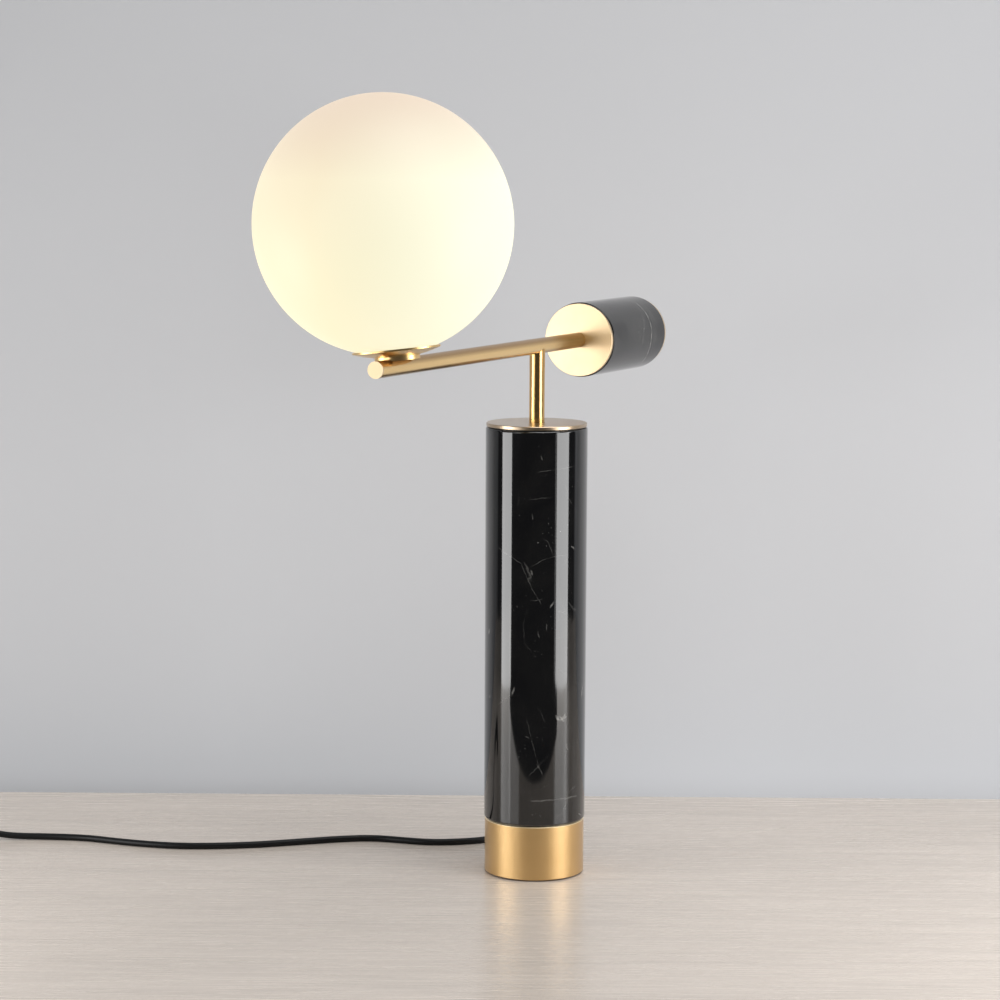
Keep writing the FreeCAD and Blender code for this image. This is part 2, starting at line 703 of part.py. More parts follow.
def coil_edges():
    """The coil's middle line from the switch to the plug, and where the plug starts."""
    ahead = heading_vector(CORD_HEADING)
    left = heading_vector(CORD_HEADING + 90)
    level = Vector(0, 0, HOUSING_MID_Z)
    begin = Vector(*SWITCH_START, 0) + ahead * SWITCH_TOTAL + level
    straight_end = begin + ahead * (2 * CORD_R)
    touch = Vector(*SWITCH_START, 0) + ahead * (SWITCH_TOTAL + COIL_LEAD_IN)
    centre = touch + left * COIL_OUTER_R
    start_angle = math.radians(CORD_HEADING - 90)
    edges = [Part.LineSegment(begin, straight_end).toShape()]
    place, way = coil_point(0, centre, start_angle)
    edges += biarc(straight_end, ahead, place, way)
    for step in range(round(COIL_TURNS / QUARTER)):
        next_place, next_way = coil_point((step + 1) * QUARTER, centre, start_angle)
        edges += biarc(place, way, next_place, next_way)
        place, way = next_place, next_way
    back = ahead * -1
    landing = Vector(place.x, place.y, HOUSING_MID_Z) + back * COIL_LEAD_OUT
    edges += biarc(place, way, landing, back)
    plug_start = landing + back * (2 * CORD_R)
    edges.append(Part.LineSegment(landing, plug_start).toShape())
    return edges, plug_start


def least_self_gap(edges):
    """The least clear gap between stretches of the coil that aren't neighbours."""
    step = 2.0
    wire = Part.Wire(edges)
    points = wire.discretize(Distance=step)
    apart = int(30 / step)
    least = None
    for index, point in enumerate(points):
        for other in points[index + apart:]:
            gap = point.distanceToPoint(other) - 2 * CORD_R
            if least is None or gap < least:
                least = gap
    return least


def cord_parts():
    switch_start = Vector(*SWITCH_START, HOUSING_MID_Z)
    points = [Vector(*place) for place in CORD_ROUTE]
    points.append(switch_start - heading_vector(CORD_HEADING) * CORD_LAST_RUN)
    points.append(switch_start)
    edges, radii = corner_arcs(points)
    tube, tube_length = tube_along(edges)
    print("cord tube radii:", " ".join("%.0f" % radius for radius in radii))
    report_volume("cord_tube", tube, tube_length)
    wound, plug_start = coil_edges()
    coil, coil_length = tube_along(wound)
    report_volume("cord_coil", coil, coil_length)
    print("cord_coil: least gap to itself %.2f" % least_self_gap(wound))
    total = tube_length + SWITCH_TOTAL + coil_length + RELIEF_LENGTH
    print("whole cord from bush to plug: %.0f" % total)
    return {"cord_tube": tube, "cord_coil": coil}, plug_start


# ---- inline switch ----

def rounded_case(length, width, bottom, top, corner, rim):
    case = block((0, -width / 2, bottom), (length, width / 2, top))
    upright = [edge for edge in case.Edges if edge.BoundBox.ZLength > 1]
    case = case.makeFillet(corner, upright)
    level = [edge for edge in case.Edges if abs(edge.BoundBox.ZMin - rim) < 0.01]
    level = [edge for edge in level if edge.BoundBox.ZLength < 0.01]
    return case.makeFillet(SWITCH_RIM_R, level)


def switch_parts():
    wall = SWITCH_WALL
    half_width = SWITCH_WIDTH / 2
    seam = HOUSING_MID_Z
    middle = SWITCH_LENGTH / 2
    room_low = (wall, -half_width + wall, wall)
    room_high = (SWITCH_LENGTH - wall, half_width - wall, seam + 1)
    lower = rounded_case(SWITCH_LENGTH, SWITCH_WIDTH, 0, seam, SWITCH_CORNER_R, 0)
    lower = lower.cut(inner_room(room_low, room_high))
    upper = rounded_case(SWITCH_LENGTH, SWITCH_WIDTH, seam, SWITCH_TOP, SWITCH_CORNER_R, SWITCH_TOP)
    room_low = (wall, -half_width + wall, seam - 1)
    room_high = (SWITCH_LENGTH - wall, half_width - wall, SWITCH_TOP - wall)
    upper = upper.cut(inner_room(room_low, room_high))
    opening_half = ROCKER_LENGTH / 2 + ROCKER_ROOM
    side_half = ROCKER_WIDTH / 2 + ROCKER_ROOM / 2
    window_low = (middle - opening_half, -side_half, SWITCH_TOP - wall - 1)
    window_high = (middle + opening_half, side_half, SWITCH_TOP + 1)
    upper = upper.cut(block(window_low, window_high))
    for side in (-1, 1):
        near_y, far_y = sorted((side * side_half, side * (side_half + LUG_WIDTH)))
        lug_low = (middle - LUG_HALF, near_y, LUG_BOTTOM)
        lug_high = (middle + LUG_HALF, far_y, SWITCH_TOP - wall)
        upper = upper.fuse(block(lug_low, lug_high))
    pin_end = Vector(middle, -ROCKER_PIN_LENGTH / 2, ROCKER_PIVOT_Z)
    pin = Part.makeCylinder(ROCKER_PIN_R, ROCKER_PIN_LENGTH, pin_end, Y_AXIS)
    upper = upper.cut(pin).removeSplitter()
    case_start = RELIEF_LENGTH
    relief_in = lying(cone(RELIEF_THIN_R, RELIEF_THICK_R, 0, RELIEF_LENGTH), HOUSING_MID_Z)
    out_start = RELIEF_LENGTH + SWITCH_LENGTH
    relief_out = lying(cone(RELIEF_THICK_R, RELIEF_THIN_R, out_start, SWITCH_TOTAL), HOUSING_MID_Z)
    shapes = {
        "switch_base": lower,
        "switch_cover": upper,
        "rocker_pin": pin,
        "switch_rocker": rocker(middle),
    }
    for shape in shapes.values():
        shape.translate(Vector(case_start, 0, 0))
    shapes["switch_relief_in"] = relief_in
    shapes["switch_relief_out"] = relief_out
    start = Vector(*SWITCH_START, 0)
    return {node: on_table(shape, start, CORD_HEADING) for node, shape in shapes.items()}


def inner_room(low, high):
    room = block(low, high)
    upright = [edge for edge in room.Edges if edge.BoundBox.ZLength > 1]
    return room.makeFillet(SWITCH_CORNER_R - SWITCH_WALL, upright)


def rocker(middle):
    """The rocker at rest, with its far end pressed down."""
    half = ROCKER_LENGTH / 2
    outline = [
        (-half, -ROCKER_DEEP),
        (half, -ROCKER_DEEP),
        (half, ROCKER_HIGH),
        (0, ROCKER_WAIST),
        (-half, ROCKER_HIGH),
    ]
    points = [Vector(x, -ROCKER_WIDTH / 2, z) for x, z in outline]
    shape = Part.Face(Part.makePolygon(points + points[:1])).extrude(Vector(0, ROCKER_WIDTH, 0))
    bore_r = ROCKER_PIN_R + ROCKER_PIN_CLEARANCE
    bore_end = Vector(0, -ROCKER_WIDTH, 0)
    shape = shape.cut(Part.makeCylinder(bore_r, 2 * ROCKER_WIDTH, bore_end, Y_AXIS))
    shape.rotate(ORIGIN, Y_AXIS, ROCKER_TILT)
    shape.translate(Vector(middle, 0, ROCKER_PIVOT_Z))
    return shape


# ---- plug ----

def plug_parts(start):
    right = [Vector(x, -half, 0) for x, half in PLUG_OUTLINE]
    left = [Vector(x, half, 0) for x, half in reversed(PLUG_OUTLINE)]
    outline = right + left
    body = Part.Face(Part.makePolygon(outline + outline[:1])).extrude(Vector(0, 0, PLUG_THICK))
    front = PLUG_OUTLINE[0][0]
    back = PLUG_OUTLINE[-1][0]
    long_edges = []
    for edge in body.Edges:
        box = edge.BoundBox
        on_face = box.XMin > back - 0.01 or box.XMax < front + 0.01
        if box.ZLength < 0.01 and not on_face:
            long_edges.append(edge)
    body = body.makeFillet(PLUG_EDGE, long_edges)
    shapes = {
        "plug_relief": lying(cone(RELIEF_THIN_R, RELIEF_THICK_R, 0, RELIEF_LENGTH), HOUSING_MID_Z),
    }
    for number, side in enumerate((-1, 1), start=1):
        pin = disc(PIN_R, back - PIN_ROOT, back + PIN_LENGTH - PIN_R)
        pin = pin.fuse(ball(PIN_R, back + PIN_LENGTH - PIN_R)).removeSplitter()
        pin = lying(pin, HOUSING_MID_Z)
        pin.translate(Vector(0, side * PIN_SPACING / 2, 0))
        body = body.cut(pin)
        shapes["plug_pin_%d" % number] = pin
    shapes["plug_body"] = body
    way = CORD_HEADING + 180
    return {node: on_table(shape, start, way) for node, shape in shapes.items()}


# ---- write every node ----

def lamp():
    parts = {}
    parts.update(base_parts())
    parts.update(cord_entry_parts())
    parts.update(column_parts())
    parts.update(cap_parts())
    parts.update(stem_parts())
    parts.update(arm_parts())
    parts.update(counterweight_parts())
    leaning = {}
    leaning.update(gallery_parts())
    leaning.update(lampholder_parts())
    leaning.update(bulb_parts())
    leaning.update(globe_parts())
    for node, shape in leaning.items():
        parts[node] = on_gallery(shape)
    cords, plug_start = cord_parts()
    parts.update(cords)
    parts.update(switch_parts())
    parts.update(plug_parts(plug_start))
    return parts


def main():
    os.makedirs("parts", exist_ok=True)
    parts = lamp()
    for node, shape in sorted(parts.items()):
        solids = len(shape.Solids)
        wanted = CLIP_COUNT if node == "spring_clips" else 1
        if solids != wanted or not shape.isValid():
            print("look at", node, "solids", solids, "valid", shape.isValid())
        shape.exportStep("parts/%s.step" % node)
    print("nodes:", len(parts))


main()
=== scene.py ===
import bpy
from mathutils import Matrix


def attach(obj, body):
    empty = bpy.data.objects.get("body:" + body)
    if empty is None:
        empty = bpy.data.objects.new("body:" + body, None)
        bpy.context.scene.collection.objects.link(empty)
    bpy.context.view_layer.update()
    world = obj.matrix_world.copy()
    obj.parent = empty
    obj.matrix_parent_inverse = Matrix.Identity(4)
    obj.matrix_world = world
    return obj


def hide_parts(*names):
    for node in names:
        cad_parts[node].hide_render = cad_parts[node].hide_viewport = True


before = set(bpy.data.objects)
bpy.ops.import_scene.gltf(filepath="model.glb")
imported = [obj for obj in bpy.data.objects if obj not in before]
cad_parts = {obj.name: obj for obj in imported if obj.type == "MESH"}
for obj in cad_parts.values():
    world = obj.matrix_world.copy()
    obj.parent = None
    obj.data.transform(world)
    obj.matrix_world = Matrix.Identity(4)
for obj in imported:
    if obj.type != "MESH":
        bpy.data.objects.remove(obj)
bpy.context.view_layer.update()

import math

import bmesh
import bpy
from mathutils import Matrix, Vector

# A table lamp: glass globe and stone counterweight on a brass arm, over a stone column.
# Everything is in metres in the frame's own axes: +Z up, X along the arm, globe at -X.

# ---- sizes, as in the part's source ----

MM = 0.001
BASE_TOP = 44.8 * MM
COLUMN_R = 40.9 * MM
ARM_HEIGHT = 427.5 * MM
GLOBE_X = -246.0 * MM
GLOBE_LEAN = math.radians(6.8)
GLOBE_HEIGHT = 102.5 * MM
GLOBE_R = 94.0 * MM
GLOBE_WALL = 3.0 * MM
GLOBE_HOLE_R = 25.0 * MM
GLOBE_AXIS = Vector((0, math.sin(GLOBE_LEAN), math.cos(GLOBE_LEAN)))
GLOBE_FOOT = Vector((GLOBE_X, 0, ARM_HEIGHT))
GLOBE_CENTRE = GLOBE_FOOT + GLOBE_AXIS * GLOBE_HEIGHT
WEIGHT_R = 30.8 * MM

CORD_R = 2.7 * MM
CORD_EXIT = (63.0 * MM, 0.0, 10.0 * MM)
# along the table: degrees and millimetres
CORD_HEADING = 116.0
CORD_LAST_RUN = 15.0
SWITCH_START = (-116.2, 470.5)
RELIEF_LENGTH = 20.0
SWITCH_LENGTH = 50.0
SWITCH_END = 2 * RELIEF_LENGTH + SWITCH_LENGTH
HOUSING_MID_Z = 7.0
COIL_PITCH = 5.9
COIL_TURNS_PER_LAYER = 2.5
COIL_CLIMB = 0.5
COIL_INNER_R = 23.2
COIL_LEAD_IN = 26.0
COIL_LEAD_IN_BEND = 0.7 * COIL_LEAD_IN
COIL_LEAD_IN_HEIGHT = 4.2
COIL_LEAD_OUT = 28.0
COIL_LEAD_OUT_BEND = 0.35 * COIL_LEAD_OUT
COIL_POINTS_PER_TURN = 16

# the cord's route from its bush to the switch, in millimetres, as in the part's source
CORD_ROUTE = [
    (63.0, 0.0, 10.0),
    (77.0, 0.0, 10.0),
    (91.0, 5.8, 7.6),
    (101.0, 17.6, 4.8),
    (103.8, 33.2, 3.2),
    (98.9, 48.4, 2.7),
    (88.0, 60.2, 2.7),
    (74.5, 67.4, 2.7),
    (61.5, 76.0, 2.7),
    (47.5, 91.5, 2.7),
    (36.3, 110.3, 2.7),
    (32.1, 133.7, 2.7),
    (29.5, 160.0, 2.7),
    (15.4, 183.2, 2.7),
    (-9.0, 210.2, 2.7),
    (-32.7, 235.9, 2.7),
    (-52.5, 264.3, 2.7),
    (-67.6, 294.7, 2.7),
    (-73.8, 323.8, 2.7),
    (-76.4, 351.2, 2.7),
    (-77.2, 380.5, 2.7),
    (-87.0, 411.3, 2.7),
    (-102.2, 441.7, 3.3),
]


def add_object(name, data):
    thing = bpy.data.objects.new(name, data)
    bpy.context.scene.collection.objects.link(thing)
    return thing


# ---- camera, as fitted to the photograph ----

LENS = 102.341
SENSOR = 36.0
CAMERA_PLACE = (-2.06998, -0.92062, 0.58381)
CAMERA_FORWARD = Vector((0.901543, 0.414918, -0.122734))
CAMERA_RIGHT = Vector((0.418635, -0.908141, 0.004992))


def make_camera():
    data = bpy.data.cameras.new("camera")
    data.sensor_width = SENSOR
    data.lens = LENS
    data.clip_end = 50.0
    camera = add_object("camera", data)
    up = CAMERA_RIGHT.cross(CAMERA_FORWARD)
    turn = Matrix((CAMERA_RIGHT, up, -CAMERA_FORWARD)).transposed().to_4x4()
    camera.matrix_world = Matrix.Translation(CAMERA_PLACE) @ turn
    bpy.context.scene.camera = camera


# ---- cords ----

def heading_vector(degrees):
    """A level direction, measured from +X towards +Y."""
    return Vector((math.cos(math.radians(degrees)), math.sin(math.radians(degrees)), 0))


def nurbs_cord(name, points):
    """A round cord along points in millimetres. Each point's radius scales a bevel 1 m deep."""
    curve = bpy.data.curves.new(name, "CURVE")
    curve.dimensions = "3D"
    curve.bevel_depth = 1.0
    curve.bevel_resolution = 6
    curve.resolution_u = 12
    curve.use_fill_caps = True
    spline = curve.splines.new("NURBS")
    spline.points.add(len(points) - 1)
    for index, point in enumerate(points):
        spline.points[index].co = (*(Vector(point) * MM), 1.0)
        spline.points[index].radius = CORD_R
    spline.order_u = 3
    spline.use_endpoint_u = True
    cord = add_object(name, curve)
    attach(cord, "stand")
    return cord


def switch_place(along, height=HOUSING_MID_Z):
    """A point on the line through the switch, millimetres from its first strain relief."""
    ahead = heading_vector(CORD_HEADING)
    return Vector((*SWITCH_START, 0)) + ahead * along + Vector((0, 0, height))


def table_cord_points():
    points = [Vector(point) for point in CORD_ROUTE]
    points.append(switch_place(-CORD_LAST_RUN))
    points.append(switch_place(0))
    return points


def coil_points():
    """The put-away cord: out of the switch, two flat layers of turns, back to the plug."""
    ahead = heading_vector(CORD_HEADING)
    left = heading_vector(CORD_HEADING + 90)
    outer = COIL_INNER_R + COIL_TURNS_PER_LAYER * COIL_PITCH
    centre = switch_place(SWITCH_END + COIL_LEAD_IN, 0) + left * outer
    start_angle = math.radians(CORD_HEADING - 90)
    turns = 2 * COIL_TURNS_PER_LAYER + COIL_CLIMB
    points = [switch_place(SWITCH_END), switch_place(SWITCH_END + 4 * CORD_R / MM)]
    points.append(switch_place(SWITCH_END + COIL_LEAD_IN_BEND, COIL_LEAD_IN_HEIGHT))
    steps = round(turns * COIL_POINTS_PER_TURN)
    # control points lie outside the curve they make, by this share of the radius
    outward = 1 / math.cos(math.pi / COIL_POINTS_PER_TURN)
    middle = turns / 2
    for step in range(steps + 1):
        turn = step / COIL_POINTS_PER_TURN
        radius = COIL_INNER_R - COIL_PITCH * COIL_CLIMB / 2 + COIL_PITCH * abs(turn - middle)
        share = min(1.0, max(0.0, (turn - COIL_TURNS_PER_LAYER) / COIL_CLIMB))
        height = CORD_R / MM + COIL_PITCH * (3 * share ** 2 - 2 * share ** 3)
        angle = start_angle + 2 * math.pi * turn
        reach = radius * (1 + (outward - 1) * 0.5)
        points.append(centre + Vector((reach * math.cos(angle), reach * math.sin(angle), height)))
    last = points[-1]
    back = ahead * -1
    landing = Vector((last.x, last.y, HOUSING_MID_Z)) + back * COIL_LEAD_OUT
    points.append(landing + ahead * COIL_LEAD_OUT_BEND)
    points.append(landing)
    points.append(landing + back * (2 * CORD_R / MM))
    return points


make_camera()
table_cord = nurbs_cord("table_cord", table_cord_points())
wound_cord = nurbs_cord("wound_cord", coil_points())


# ---- a small kit for building materials ----

class Nodes:
    """A material and its nodes, added in reading order."""

    def __init__(self, name):
        self.material = bpy.data.materials.new(name)
        self.material.use_nodes = True
        self.tree = self.material.node_tree
        self.shader = self.tree.nodes["Principled BSDF"]
        place = self.tree.nodes.new("ShaderNodeTexCoord")
        self.place = place.outputs["Object"]

    def add(self, kind, **inputs):
        node = self.tree.nodes.new(kind)
        for name, value in inputs.items():
            self.put(node, name, value)
        return node

    def put(self, node, name, value):
        """Link or set an input, by its name or, as in i0 and i1, by its number."""
        numbered = name[0] == "i" and name[1:].isdigit()
        socket = node.inputs[int(name[1:]) if numbered else name]
        if isinstance(value, bpy.types.NodeSocket):
            self.tree.links.new(value, socket)
        else:
            socket.default_value = value

    def set(self, **values):
        for name, value in values.items():
            self.put(self.shader, name.replace("_", " "), value)

    def maths(self, operation, first, second=0.0, third=0.0):
        node = self.add("ShaderNodeMath", i0=first, i1=second, i2=third)
        node.operation = operation
        return node.outputs[0]

    def vector_maths(self, operation, first, second=None, scale=None):
        node = self.add("ShaderNodeVectorMath", i0=first)
        node.operation = operation
        if second is not None:
            self.put(node, "i1", second)
        if scale is not None:
            node.inputs["Scale"].default_value = scale
        return node.outputs["Value" if operation == "LENGTH" else "Vector"]

    def clamp_range(self, value, low, high, to_low=0.0, to_high=1.0):
        node = self.add("ShaderNodeMapRange", Value=value)
        node.inputs["From Min"].default_value = low
        node.inputs["From Max"].default_value = high
        node.inputs["To Min"].default_value = to_low
        node.inputs["To Max"].default_value = to_high
        return node.outputs["Result"]

    def noise(self, scale, detail=3.0, roughness=0.5, distortion=0.0, place=None):
        node = self.add("ShaderNodeTexNoise")
        self.put(node, "Vector", place or self.place)
        node.inputs["Scale"].default_value = scale
        node.inputs["Detail"].default_value = detail
        node.inputs["Roughness"].default_value = roughness
        node.inputs["Distortion"].default_value = distortion
        return node.outputs["Fac"]

    def colour_noise(self, scale, detail):
        node = self.add("ShaderNodeTexNoise", Vector=self.place)
        node.inputs["Scale"].default_value = scale
        node.inputs["Detail"].default_value = detail
        return node.outputs["Color"]

    def stretch(self, x, y, z, place=None):
        node = self.add("ShaderNodeMapping")
        self.put(node, "Vector", place or self.place)
        node.inputs["Scale"].default_value = (x, y, z)
        return node.outputs["Vector"]

    def mix(self, share, first, second):
        node = self.tree.nodes.new("ShaderNodeMix")
        node.data_type = "RGBA"
        factor, low, high = node.inputs[0], node.inputs[6], node.inputs[7]
        for socket, value in ((factor, share), (low, first), (high, second)):
            if isinstance(value, bpy.types.NodeSocket):
                self.tree.links.new(value, socket)
            else:
                socket.default_value = (*value, 1.0) if isinstance(value, tuple) else value
        return node.outputs[2]

    def split(self, place=None):
        node = self.add("ShaderNodeSeparateXYZ")
        self.put(node, "Vector", place or self.place)
        return node.outputs

    def bump(self, height, strength, distance):
        node = self.add("ShaderNodeBump")
        self.put(node, "Height", height)
        node.inputs["Strength"].default_value = strength
        node.inputs["Distance"].default_value = distance
        self.tree.links.new(node.outputs["Normal"], self.shader.inputs["Normal"])


def rgb(red, green, blue):
    """A colour written as 0-255 display values, as linear numbers."""
    def linear(value):
        value /= 255
        return value / 12.92 if value <= 0.04045 else ((value + 0.055) / 1.055) ** 2.4
    return tuple(linear(value) for value in (red, green, blue))


def shaded(colour, factor):
    return tuple(value * factor for value in colour)


# ---- materials ----

BRASS = (0.82, 0.565, 0.245)


def brass(name, roughness, lines, depth=0.08, coat=1.0, lacquer=0.20, colour=BRASS, painted_light_bands=()):
    """Lacquered brass with fine lines: "turned" round Z, "drawn" along X, or "faced", with grains.
    A painted light band is (height, height, colour): above its second height the brass has that other
    colour. The bands paint highlight and shade into the colour by height."""
    n = Nodes(name)
    scales = {"turned": (30, 30, 2600), "drawn": (12, 700, 700), "faced": (900, 900, 900)}
    fine = n.noise(1.0, 2.0, 0.6, place=n.stretch(*scales[lines]))
    cloud = n.noise(38.0, 3.0, 0.55)
    smudge = n.noise(11.0, 2.0, 0.5)
    warm = tuple(value * factor for value, factor in zip(colour, (0.96, 0.93, 0.88)))
    tint = n.mix(n.clamp_range(cloud, 0.35, 0.7), colour, warm)
    # painted highlight and painted shade, laid into the colour by height
    for low, high, other in painted_light_bands:
        tint = n.mix(n.clamp_range(n.split()[2], low, high), tint, other)
    n.set(Metallic=1.0, Base_Color=tint, Coat_Weight=coat, Coat_Roughness=lacquer, Coat_IOR=1.5)
    rough = n.maths("MULTIPLY_ADD", fine, depth, roughness - depth / 2)
    rough = n.maths("MULTIPLY_ADD", smudge, 0.04, n.maths("SUBTRACT", rough, 0.02))
    n.set(Roughness=rough)
    n.bump(fine, depth, 0.00003)
    return n.material


# Light veins and flecks on the column: lists of (direction in degrees, height in mm),
# with a width in mm and a strength. A direction is measured from +X towards +Y.
COLUMN_MARKS = [
    ([(204.6, 330.7), (224.9, 332.8), (255.5, 334.7)], 0.5, 0.16),
    ([(195.2, 308.7), (221.5, 311.0)], 0.5, 0.12),
    ([(155.0, 270.0), (164.7, 265.9), (177.0, 262.4), (186.9, 257.8), (194.0, 247.6),
      (198.4, 239.3), (204.6, 232.5), (209.9, 225.7)], 0.5, 0.20),
    ([(199.2, 256.3), (216.7, 262.5), (241.8, 264.5)], 0.5, 0.16),
    ([(199.4, 228.7), (211.6, 229.4)], 0.5, 0.16),
    ([(230.0, 219.6), (242.5, 217.3)], 0.5, 0.14),
    ([(206.6, 203.6), (208.5, 198.7)], 0.6, 0.25),
    ([(194.6, 133.7), (200.0, 118.0), (206.0, 101.0), (212.5, 87.7)], 0.45, 0.14),
    ([(206.5, 96.5), (211.0, 92.0), (212.5, 87.7)], 0.6, 0.25),
    ([(198.7, 66.5), (229.4, 67.1), (265.4, 67.1)], 0.9, 0.30),
    ([(266.0, 51.6), (271.0, 50.2)], 0.9, 0.45),
    ([(209.0, 343.8), (210.2, 340.6)], 0.6, 0.35),
    ([(200.0, 297.6), (200.6, 293.4)], 0.6, 0.30),
    ([(266.0, 294.4), (266.8, 291.6)], 0.6, 0.35),
    ([(247.5, 270.2), (252.5, 268.7)], 0.9, 0.45),
    ([(199.2, 252.3), (200.0, 249.7)], 0.9, 0.50),
    ([(220.6, 223.2), (223.4, 226.8)], 1.0, 0.65),
    ([(216.0, 209.5), (216.6, 205.0)], 0.6, 0.25),
    ([(137.6, 197.0), (139.8, 201.6)], 1.1, 0.65),
    ([(131.6, 175.4), (133.4, 178.8)], 0.9, 0.40),
    ([(140.8, 147.8), (141.8, 145.6)], 1.0, 0.55),
    ([(177.6, 152.4), (180.0, 156.8)], 1.1, 0.55),
    ([(270.0, 146.0), (271.4, 151.2), (273.4, 155.6)], 1.1, 0.55),
    ([(229.0, 134.4), (232.5, 131.8), (237.5, 132.0), (240.5, 134.6)], 1.6, 0.60),
    ([(233.0, 134.0), (238.0, 130.6)], 1.6, 0.55),
    ([(242.6, 110.8), (244.2, 106.6)], 0.8, 0.30),
    ([(193.6, 118.8), (196.8, 117.8)], 0.7, 0.25),
]
# The same on the counterweight: (place along the arm in mm, direction in degrees round it),
# where 90 is above the arm and 180 faces -Y.
WEIGHT_MARKS = [
    ([(171.5, 118.0), (170.3, 138.0), (169.7, 156.0), (169.5, 171.0), (168.7, 188.5),
      (170.0, 201.0), (172.1, 214.0), (176.0, 236.0)], 0.75, 0.85),
    ([(163.5, 126.0), (161.4, 142.8), (156.0, 160.0), (150.6, 177.7), (149.0, 196.0)], 2.2, 0.11),
    ([(176.5, 148.0), (177.5, 168.0), (176.0, 190.0)], 1.6, 0.11),
    ([(165.1, 231.5), (171.0, 229.0), (180.0, 230.0)], 1.0, 0.16),
    ([(158.0, 108.0), (163.0, 117.0), (170.0, 122.0)], 2.5, 0.08),
]
MARK_COLOUR = (0.62, 0.61, 0.58)
MARK_STRENGTH = 0.55
MARK_SHAKE = 2.6 * MM


def streak(n, place, start, end, width, strength):
    """A soft streak on the unrolled face between two places, tapering at its ends."""
    start, end = Vector(start), Vector(end)
    run = end - start
    node = n.add("ShaderNodeMapping", Vector=place)
    node.vector_type = "TEXTURE"
    node.inputs["Location"].default_value = (start + end) / 2
    node.inputs["Rotation"].default_value = (0, 0, math.atan2(run.y, run.x))
    node.inputs["Scale"].default_value = (0.62 * run.length + width, width, 1)
    away = n.vector_maths("LENGTH", node.outputs[0])
    return n.clamp_range(away, 1.0, 0.3, 0.0, strength)


def unrolled_column(n):
    """The column's face laid flat: metres round it from -X, and height."""
    x, y, z = n.split()
    turn = n.maths("ARCTAN2", n.maths("MULTIPLY", y, -1.0), n.maths("MULTIPLY", x, -1.0))
    return n.maths("MULTIPLY", turn, COLUMN_R), z


def unrolled_weight(n):
    """The counterweight's face laid flat: place along the arm, and metres round it from -Y."""
    x, y, z = n.split()
    below = n.maths("SUBTRACT", ARM_HEIGHT, z)
    turn = n.maths("ARCTAN2", below, n.maths("MULTIPLY", y, -1.0))
    return x, n.maths("MULTIPLY", turn, WEIGHT_R)


def column_spot(mark):
    return (math.radians(mark[0] - 180) * COLUMN_R, mark[1] * MM, 0.0)


def weight_spot(mark):
    return (mark[0] * MM, math.radians(mark[1] - 180) * WEIGHT_R, 0.0)


def drawn_marks(n, marks, unroll, spot):
    """A mask of the listed marks, with shaken edges and patchy strength."""
    across, along = unroll(n)
    flat = n.add("ShaderNodeCombineXYZ", X=across, Y=along).outputs[0]
    wobble = n.vector_maths("SUBTRACT", n.colour_noise(160.0, 3.0), (0.5, 0.5, 0.5))
    place = n.vector_maths("ADD", flat, n.vector_maths("SCALE", wobble, scale=MARK_SHAKE))
    total = None
    for points, width, strength in marks:
        for start, end in zip(points, points[1:]):
            mask = streak(n, place, spot(start), spot(end), width * MM, MARK_STRENGTH * strength)
            total = mask if total is None else n.maths("MAXIMUM", total, mask)
    patchy = n.clamp_range(n.noise(420.0, 2.0, 0.6), 0.30, 0.62, 0.35, 1.0)
    return n.maths("MULTIPLY", total, patchy)


def hair_veins(n):
    """A faint net of hair-thin veins, here and there."""
    bent = n.vector_maths("ADD", n.place, n.vector_maths("SCALE", n.colour_noise(26.0, 5.0), scale=0.030))
    net = n.add("ShaderNodeTexVoronoi", Vector=bent)
    net.feature = "DISTANCE_TO_EDGE"
    net.inputs["Scale"].default_value = 17.0
    hair = n.clamp_range(net.outputs["Distance"], 0.0, 0.012, 1.0, 0.0)
    where = n.clamp_range(n.noise(30.0, 3.0, 0.6), 0.54, 0.68, 0.0, 0.10)
    return n.maths("MULTIPLY", hair, where)


def flecks(n):
    """Small light crystals, in loose groups."""
    fleck = n.clamp_range(n.noise(700.0, 1.0, 0.4), 0.74, 0.80, 0.0, 0.30)
    return n.maths("MULTIPLY", fleck, n.clamp_range(n.noise(48.0, 2.0, 0.5), 0.56, 0.66))


def stone(name, marks, unroll, spot, cloud_colours, ior, coat):
    """Dark polished stone: soft clouds, the listed marks, a net of hair veins, and flecks."""
    n = Nodes(name)
    light = n.maths("MAXIMUM", drawn_marks(n, marks, unroll, spot), hair_veins(n))
    light = n.maths("MAXIMUM", light, flecks(n))
    cloud = n.clamp_range(n.noise(24.0, 6.0, 0.62, 0.6), 0.42, 0.74)
    base = n.mix(cloud, *cloud_colours)
    n.set(Base_Color=n.mix(light, base, MARK_COLOUR))
    n.set(Roughness=n.maths("MULTIPLY_ADD", n.noise(90.0, 3.0, 0.6), 0.04, 0.045))
    n.set(IOR=ior, Coat_Weight=coat, Coat_Roughness=0.05)
    n.bump(n.noise(260.0, 2.0, 0.5), 0.06, 0.00003)
    return n.material


def plain(name, colour, roughness, grain=400.0, metallic=0.0, depth=0.00003, gloss=0.5):
    """A plain material with fine grain and a slightly cloudy colour."""
    n = Nodes(name)
    fine = n.noise(grain, 3.0, 0.6)
    cloud = n.clamp_range(n.noise(40.0, 3.0, 0.5), 0.35, 0.7)
    n.set(Base_Color=n.mix(cloud, colour, shaded(colour, 0.86)), Metallic=metallic)
    n.set(Roughness=n.maths("MULTIPLY_ADD", fine, 0.12, roughness - 0.06), Specular_IOR_Level=gloss)
    n.bump(fine, 0.3, depth)
    return n.material


GLOW_LOW = (0.87, 0.79, 0.52)
GLOW_HIGH = (0.80, 0.66, 0.49)
GLOW_MIST = (0.92, 0.88, 0.66)
GLOW_PAINTED_HIGHLIGHT = (0.88, 0.88, 0.68)
GLOW_CROWN = (0.66, 0.52, 0.39)


